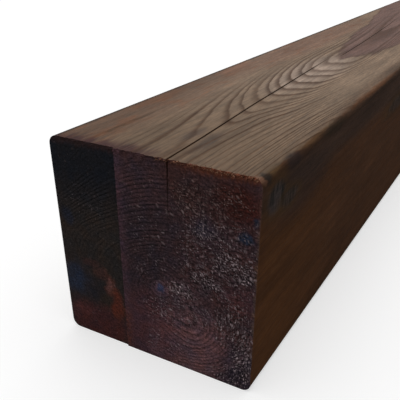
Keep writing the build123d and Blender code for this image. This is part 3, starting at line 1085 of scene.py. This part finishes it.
    high = addNode(tree, "MapRange", {"Value": crowd, "From Max": 0.6, "To Min": 1.15, "To Max": 1.7})
    streak = addNode(tree, "MapRange", {
        "Value": streak, "From Min": 0.32, "From Max": 0.68, "To Min": deep, "To Max": high})
    colour = addNode(tree, "VectorMath", {0: colour, "Scale": streak}, operation="SCALE")
    colour = addNode(tree, "Mix", {0: tufts, 6: colour, 7: tuftGlintColour}, data_type="RGBA")

    # the check runs on below its open part as a hair crack
    check = checkShape["checks"][0]
    slope = math.tan(math.radians(checkShape["lean"]))
    crack = addNode(tree, "Math", {0: z, 1: -slope, 2: x}, operation="MULTIPLY_ADD")
    crack = addNode(tree, "Math", {0: crack, 1: check["line"][0][1] - slope * topZ / mm}, operation="SUBTRACT")
    crack = addNode(tree, "Math", {0: crack}, operation="ABSOLUTE")
    crack = addNode(tree, "MapRange", {
        "Value": crack, "From Min": 0.6, "From Max": 0.1, "To Max": 0.6}, interpolation_type="SMOOTHSTEP")
    reach = addNode(tree, "MapRange", {
        "Value": z, "From Min": 92.0, "From Max": 108.0}, interpolation_type="SMOOTHSTEP")
    crack = addNode(tree, "Math", {0: crack, 1: reach}, operation="MULTIPLY")
    colour = addNode(tree, "Mix", {0: crack, 6: colour, 7: linear(endSet["crack"])}, data_type="RGBA")

    # frayed fibres along the top edge
    fray = addNode(tree, "Mapping", {"Vector": point, "Scale": (1 / 1.6, 1, 1 / 6)})
    fray = addNode(tree, "TexNoise", {"Vector": fray, "Scale": 1.0, "Detail": 4.0})
    fray = addNode(tree, "Math", {0: fray, 1: 7.0, 2: z}, operation="MULTIPLY_ADD")
    fray = addNode(tree, "MapRange", {
        "Value": fray, "From Min": 142.4, "From Max": 147.8, "To Max": 0.9}, interpolation_type="SMOOTHSTEP")
    frayed = addNode(tree, "MapRange", {
        "Value": x, "From Min": 8.0, "From Max": 44.0, "To Min": 0.14}, interpolation_type="SMOOTHSTEP")
    fray = addNode(tree, "Math", {0: fray, 1: frayed}, operation="MULTIPLY")
    colour = addNode(tree, "Mix", {0: fray, 6: colour, 7: linear(endSet["rim"])}, data_type="RGBA")

    relief = addNode(tree, "Math", {0: grit, 1: 0.6, 2: tufts}, operation="MULTIPLY_ADD")
    ridge = addNode(tree, "Math", {0: late, 1: clear}, operation="MULTIPLY")
    relief = addNode(tree, "Math", {0: ridge, 1: 0.3, 2: relief}, operation="MULTIPLY_ADD")
    bump = addNode(tree, "Bump", {"Height": relief, "Distance": 0.0007, "Strength": 0.8})
    wood = addNode(tree, "BsdfPrincipled", {
        "Base Color": colour, "Roughness": 0.65, "Specular IOR Level": endSet["gloss"], "Normal": bump})
    addNode(tree, "OutputMaterial", {"Surface": wood})
    return material


# Walls of the drying checks: torn along the fibres, coloured dark as painted shade inside the narrow gap
def splitWood():
    material = bpy.data.materials.new("splitWood")
    material.use_nodes = True
    tree = material.node_tree
    tree.nodes.clear()
    rings = growthRings(tree)
    # dark browns: painted shade inside the gap, over the growth rings
    colour = addNode(tree, "Mix", {
        0: rings["late"], 6: linear("#4C3222"), 7: linear("#2C1B12")}, data_type="RGBA")
    wood = addNode(tree, "BsdfPrincipled", {"Base Color": colour, "Roughness": 0.9, "Specular IOR Level": 0.1})
    addNode(tree, "OutputMaterial", {"Surface": wood})
    return material


# Torn softwood fibre: short, pale, dry ends that the saw left standing along the top edge
fibreSet = {
    "count": 300,
    "across": (6.0, 70.0),  # mm, more of them towards the right
    "length": (0.9, 2.8),  # mm
    "thickness": 0.45,  # mm at the root
    "below": 1.4,  # mm under the top face
    "light": "#B28468",
    "dark": "#6A3828",
    "seed": 11,
}


def tornFibre():
    material = bpy.data.materials.new("tornFibre")
    material.use_nodes = True
    tree = material.node_tree
    tree.nodes.clear()
    place = addNode(tree, "TexCoord", take="Object")
    vary = addNode(tree, "TexNoise", {"Vector": place, "Scale": 1 / (2 * mm), "Detail": 2.0})
    vary = addNode(tree, "MapRange", {"Value": vary, "From Min": 0.35, "From Max": 0.65})
    colour = addNode(tree, "Mix", {
        0: vary, 6: linear(fibreSet["dark"]), 7: linear(fibreSet["light"])}, data_type="RGBA")
    wood = addNode(tree, "BsdfPrincipled", {"Base Color": colour, "Roughness": 0.8, "Specular IOR Level": 0.2})
    addNode(tree, "OutputMaterial", {"Surface": wood})
    return material


def modelFibre():
    # one tapered, slightly hooked fibre of unit length, pointing up
    deselectAll()
    bpy.ops.mesh.primitive_cone_add(vertices=5, radius1=0.5, radius2=0.08, depth=1, location=(0, 0, 0.5))
    fibre = bpy.context.object
    bpy.ops.object.transform_apply(location=True, rotation=True, scale=True)
    bpy.ops.object.mode_set(mode="EDIT")
    sliceAcross(2, [0.35, 0.7])
    bpy.ops.object.mode_set(mode="OBJECT")
    for vertex in fibre.data.vertices:
        vertex.co.x += 0.5 * vertex.co.z ** 2
    return fibre


def fringeRim(wood):
    fibre = modelFibre()
    fibre.data.materials.append(wood)
    draw = np.random.default_rng(fibreSet["seed"])
    low, high = fibreSet["across"]
    copies = []
    for number in range(fibreSet["count"]):
        x = low + (high - low) * draw.random() ** 0.7
        down = fibreSet["below"] * draw.random()
        length = draw.uniform(*fibreSet["length"]) * mm
        thick = fibreSet["thickness"] * mm * draw.uniform(0.6, 1.2)
        lean, turn, spin = draw.normal(80, 22), draw.normal(0, 28), draw.uniform(0, 360)
        stand = Matrix.Rotation(math.radians(turn), 4, "Z") @ Matrix.Rotation(math.radians(lean), 4, "X")
        stand = stand @ Matrix.Rotation(math.radians(spin), 4, "Z")
        spot = Vector((x * mm, frontY + 0.3 * mm, topZ - (0.2 + down) * mm))
        copy = fibre.copy()
        copy.data = fibre.data.copy()
        copy.data.transform(Matrix.Translation(spot) @ stand @ Matrix.Diagonal((thick, thick, length, 1)))
        bpy.context.collection.objects.link(copy)
        copies.append(copy)
    bpy.data.objects.remove(fibre)
    makeActive(copies[0])
    for copy in copies:
        copy.select_set(True)
    bpy.ops.object.join()
    fringe = bpy.context.object
    fringe.name = "rimFibres"
    print("rim fringed with", len(copies), "fibres")
    return fringe


def dressPost(post, planed, sawn, split):
    for material in (planed, sawn, split):
        post.data.materials.append(material)
    ends = onEnds(*faceArrays(post.data))
    # the riser of the saw step belongs to the sawn face too
    centres = faceArrays(post.data)[0]
    inner = np.abs(centres[:, 0]) < halfWidth - 0.05 * mm
    inner &= (centres[:, 2] > 0.05 * mm) & (centres[:, 2] < topZ - 0.05 * mm)
    riser = inner & (centres[:, 1] < frontY + postShape["sawStep"] * mm) & (
        np.abs(centres[:, 0] - postShape["sawLine"] * mm) < postShape["stepWidth"] * mm)
    post.data.polygons.foreach_set("material_index", np.where(ends | riser, 1, 0).astype(np.int32))


# Own texture map: long faces unrolled side by side, most of the room for the front end
mapSet = {
    "edge": 0.01,  # shares of the map
    "girth": 0.53,
    "closer": 700.0,  # mm, the length is drawn larger towards the front end
    "front": (0.01, 0.56, 0.43),  # left, bottom and size
    "back": (0.46, 0.56, 0.29),
    "walls": (0.77, 0.56, 0.21),
    "wallLength": 700.0,  # mm
    "wallDepth": 48.0,
}


def girthPlaces(x, z):
    # mm round the section, from the lower left arris over the top and back along the underside
    arris = postShape["arris"]
    flat = halfWidth / mm - arris
    z = z - halfWidth / mm
    cornerX, cornerZ = np.clip(x, -flat, flat), np.clip(z, -flat, flat)
    turn = np.arctan2(x - cornerX, z - cornerZ)
    core = np.where(np.abs(turn) < 0.01, cornerX, np.sign(turn) * (2 * flat - cornerZ))
    core = np.where(np.abs(turn) > math.pi - 0.01, 4 * flat - cornerX, core)
    turn = np.where(turn < 0.01 - math.pi, math.pi, turn)
    return core + arris * turn, 8 * flat + 2 * math.pi * arris


def mapPost(post):
    mesh = post.data
    counts = np.empty(len(mesh.polygons), np.int32)
    slots = np.empty(len(mesh.polygons), np.int32)
    corners = np.empty(len(mesh.loops), np.int32)
    mesh.polygons.foreach_get("loop_total", counts)
    mesh.polygons.foreach_get("material_index", slots)
    mesh.loops.foreach_get("vertex_index", corners)
    faceOf = np.repeat(np.arange(len(counts)), counts)
    centres, normals = faceArrays(mesh)
    spots = vertexArray(mesh)[corners] / mm
    x, z = spots[:, 0], spots[:, 2]
    fromEnd = spots[:, 1] - frontY / mm

    # long faces
    closer, edge = mapSet["closer"], mapSet["edge"]
    length = (cadHigh.y - frontY) / mm
    u = np.log1p((fromEnd + 4) / closer) / math.log1p((length + 8) / closer)
    u = edge + (1 - 2 * edge) * u
    around, girth = girthPlaces(x, z)
    middle, girth = girthPlaces(centres[:, 0] / mm, centres[:, 2] / mm)
    middle = middle[faceOf]
    around = middle + (around - middle + girth / 2) % girth - girth / 2
    v = edge + mapSet["girth"] * (around / girth + 0.5 - 0.125)

    # ends and the walls of the checks
    wide = 2 * halfWidth / mm
    onFrontEnd = (slots == 1)[faceOf] & (centres[faceOf, 1] < 0)
    onBackEnd = (slots == 1)[faceOf] & (centres[faceOf, 1] > 0)
    onWall = (slots == 2)[faceOf]
    for picked, (left, bottom, size), across, up in (
        (onFrontEnd, mapSet["front"], x / wide + 0.5, z / wide),
        (onBackEnd, mapSet["back"], 0.5 - x / wide, z / wide),
        (onWall, mapSet["walls"], fromEnd / mapSet["wallLength"],
         (topZ / mm - z) / mapSet["wallDepth"] + (normals[faceOf, 0] > 0)),
    ):
        u = np.where(picked, left + size * across, u)
        v = np.where(picked, bottom + size * up, v)
    layer = mesh.uv_layers.new(name="OFBake")
    layer.uv.foreach_set("vector", np.stack((u, v), 1).astype(np.float32).ravel())
    print("post mapped, u", u.min().round(3), u.max().round(3), "v", v.min().round(3), v.max().round(3))


bpy.context.scene.view_settings.view_transform = "Standard"
placeCamera()
buildStudio()
post = modelPost()
split = splitWood()
dressPost(post, planedSoftwood(), sawnEndGrain(), split)
for check in checkShape["checks"]:
    cutCheck(post, modelCheck(check, split))
print("checks cut", len(post.data.polygons), "faces")
roughenEnds(post)
mapPost(post)
makeActive(post)
bpy.ops.object.shade_smooth_by_angle(angle=math.radians(35))
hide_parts("post")
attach(post, "root")
fringe = fringeRim(tornFibre())
makeActive(fringe)
bpy.ops.object.shade_smooth()
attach(fringe, "root")
print("post done", sum(len(p.vertices) - 2 for p in post.data.polygons), "triangles")
